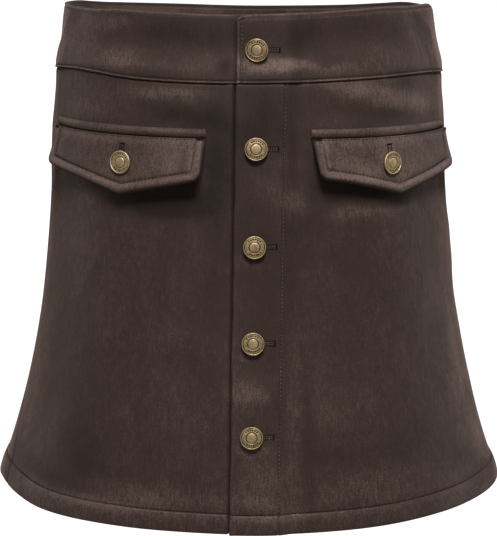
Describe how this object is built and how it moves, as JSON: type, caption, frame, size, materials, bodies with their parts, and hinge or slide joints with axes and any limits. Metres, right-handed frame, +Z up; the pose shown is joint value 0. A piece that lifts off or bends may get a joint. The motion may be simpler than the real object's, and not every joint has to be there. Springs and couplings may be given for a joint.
{
  "type": "faux suede skirt",
  "caption": "Short A-line skirt in faux suede, buttoned down the front, with a shaped waistband and buttoned pocket flaps, hollow and open as it is worn.",
  "frame": {"origin": "centre of the waist at the waistband's mid height, where the wearer's waist holds the skirt", "axes": "+Z up out of the waist opening, +X to the wearer's left, -Y towards the front"},
  "size_m": [0.4219, 0.3106, 0.3972],
  "materials": {
    "faux_suede": "dark brown brushed nap, matte with a soft sheen at glancing angles",
    "antique_brass": "aged, satin, darker in the recesses"
  },
  "bodies": {
    "root": {"front_panel_overlap": "faux_suede", "front_panel_underlap": "faux_suede", "back_panel": "faux_suede", "waistband_overlap": "faux_suede", "waistband_underlap": "faux_suede", "waistband_back": "faux_suede", "pocket_welt_left": "faux_suede", "pocket_welt_right": "faux_suede", "pocket_flap_left": "faux_suede", "pocket_flap_right": "faux_suede", "button_front_1": "antique_brass", "button_front_2": "antique_brass", "button_front_3": "antique_brass", "button_front_4": "antique_brass", "button_front_5": "antique_brass", "button_flap_left": "antique_brass", "button_flap_right": "antique_brass", "tack_front_1": "antique_brass", "tack_front_2": "antique_brass", "tack_front_3": "antique_brass", "tack_front_4": "antique_brass", "tack_front_5": "antique_brass", "tack_flap_left": "antique_brass", "tack_flap_right": "antique_brass"}
  },
  "joints": []
}
